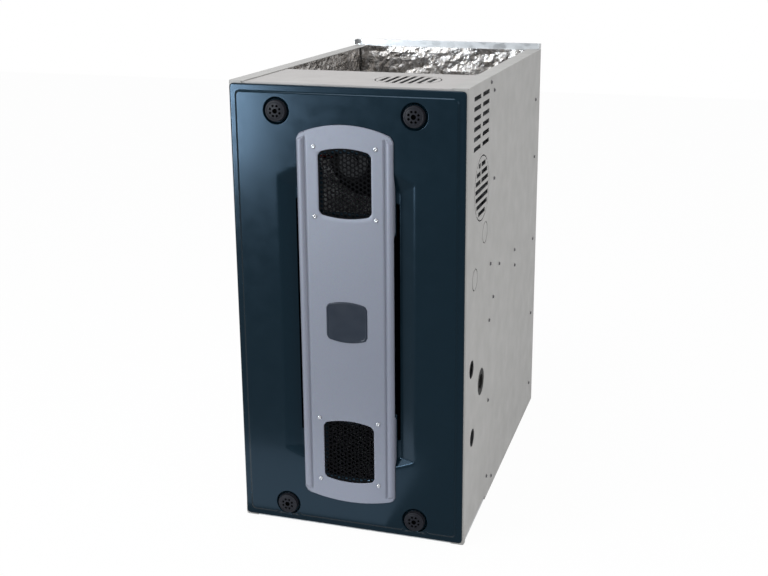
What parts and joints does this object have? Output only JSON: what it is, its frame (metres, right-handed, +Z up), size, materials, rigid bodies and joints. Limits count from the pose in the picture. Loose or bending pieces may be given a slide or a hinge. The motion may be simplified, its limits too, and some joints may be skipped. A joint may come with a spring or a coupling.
{
  "type": "forced air gas furnace",
  "caption": "Upflow forced-air gas furnace with a removable front door, tubular heat exchanger, induced-draught vent and direct-drive blower.",
  "frame": {"origin": "centre of the bounding box on the floor plane, under the middle of the cabinet", "axes": "+Z up, the front door faces -Y, +X to the right of a viewer who faces the door"},
  "size_m": [0.4444, 0.73, 0.8766],
  "materials": {
    "grey_paint": "satin warm grey paint",
    "pale_paint": "satin beige-grey paint",
    "navy_gloss": "gloss dark navy paint",
    "bezel_satin": "satin lavender-silver paint",
    "black_mesh": "semi-gloss black",
    "slate_plate": "bare dark slate",
    "black_plastic": "moulded black",
    "rubber": "matt black",
    "foil_liner": "crinkled foil facing on fibre board",
    "galvanised": "zinc-coated sheet",
    "aluminised": "aluminised steel",
    "dark_steel": "dark steel",
    "cast_alloy": "die-cast alloy",
    "motor_shell": "black enamelled shell",
    "circuit_board": "green solder mask",
    "ceramic": "unglazed white",
    "silicone_hose": "grey silicone",
    "red_wire": "red sleeve"
  },
  "bodies": {
    "casing": {"right_side_panel": "grey_paint", "left_side_panel": "grey_paint", "pipe_grommet": "rubber", "back_panel": "galvanised", "base_pan": "galvanised", "top_cover": "pale_paint", "vestibule_panel": "galvanised", "blower_deck": "galvanised", "left_liner": "foil_liner", "right_liner": "foil_liner", "rear_liner": "foil_liner", "flue_collector": "aluminised", "inducer_housing": "black_plastic", "inducer_motor": "motor_shell", "vent_collar": "galvanised", "burner_box": "galvanised", "gas_manifold": "dark_steel", "gas_valve": "cast_alloy", "igniter": "ceramic", "flame_sensor": "ceramic", "limit_switch": "black_plastic", "rollout_switch": "black_plastic", "pressure_switch": "black_plastic", "pressure_hose": "silicone_hose", "blower_housing": "galvanised", "blower_motor": "motor_shell", "motor_mount": "dark_steel", "door_switch": "black_plastic", "control_bracket": "galvanised", "control_board": "circuit_board", "transformer": "dark_steel", "junction_box": "galvanised", "wiring_harness": "red_wire", "exchanger_cell_1": "aluminised", "burner_1": "aluminised", "exchanger_cell_2": "aluminised", "burner_2": "aluminised", "exchanger_cell_3": "aluminised", "burner_3": "aluminised", "exchanger_cell_4": "aluminised", "burner_4": "aluminised"},
    "outer_door": {"door_panel": "navy_gloss", "door_gasket": "rubber", "centre_bezel": "bezel_satin", "upper_grille": "black_mesh", "lower_grille": "black_mesh", "badge_plate": "slate_plate"},
    "upper_left_latch": {"knob_upper_left": "black_plastic"},
    "upper_right_latch": {"knob_upper_right": "black_plastic"},
    "lower_left_latch": {"knob_lower_left": "black_plastic"},
    "lower_right_latch": {"knob_lower_right": "black_plastic"},
    "inner_door": {"blower_door": "galvanised"},
    "blower_rotor": {"blower_wheel": "galvanised"},
    "inducer_rotor": {"inducer_wheel": "dark_steel"},
    "switch_plunger": {"door_switch_plunger": "ceramic"},
    "valve_dial": {"gas_valve_knob": "red_wire"}
  },
  "joints": [
    {"name": "door_pull", "type": "slide", "parent": "casing", "child": "outer_door", "axis": [0, -1, 0], "range_m": [0, 0.5]},
    {"name": "upper_left_knob_turn", "type": "hinge", "parent": "outer_door", "child": "upper_left_latch", "pos_m": [-0.1284, -0.359, 0.813], "axis": [0, 1, 0], "range_deg": [0, 90]},
    {"name": "upper_right_knob_turn", "type": "hinge", "parent": "outer_door", "child": "upper_right_latch", "pos_m": [0.1284, -0.359, 0.813], "axis": [0, 1, 0], "range_deg": [0, 90]},
    {"name": "lower_left_knob_turn", "type": "hinge", "parent": "outer_door", "child": "lower_left_latch", "pos_m": [-0.1284, -0.359, 0.0405], "axis": [0, 1, 0], "range_deg": [0, 90]},
    {"name": "lower_right_knob_turn", "type": "hinge", "parent": "outer_door", "child": "lower_right_latch", "pos_m": [0.1284, -0.359, 0.0405], "axis": [0, 1, 0], "range_deg": [0, 90]},
    {"name": "inner_door_pull", "type": "slide", "parent": "casing", "child": "inner_door", "axis": [0, -1, 0], "range_m": [0, 0.15]},
    {"name": "blower_spin", "type": "hinge", "parent": "casing", "child": "blower_rotor", "pos_m": [0, 0.095, 0.205], "axis": [1, 0, 0], "continuous": true},
    {"name": "inducer_spin", "type": "hinge", "parent": "casing", "child": "inducer_rotor", "pos_m": [0, -0.2146, 0.72], "axis": [0, 1, 0], "continuous": true},
    {"name": "switch_press", "type": "slide", "parent": "casing", "child": "switch_plunger", "axis": [0, 1, 0], "range_m": [0, 0.002], "stiffness_N_per_m": 200},
    {"name": "valve_dial_turn", "type": "hinge", "parent": "casing", "child": "valve_dial", "pos_m": [0.105, -0.3246, 0.465], "axis": [0, 1, 0], "range_deg": [0, 90]}
  ]
}
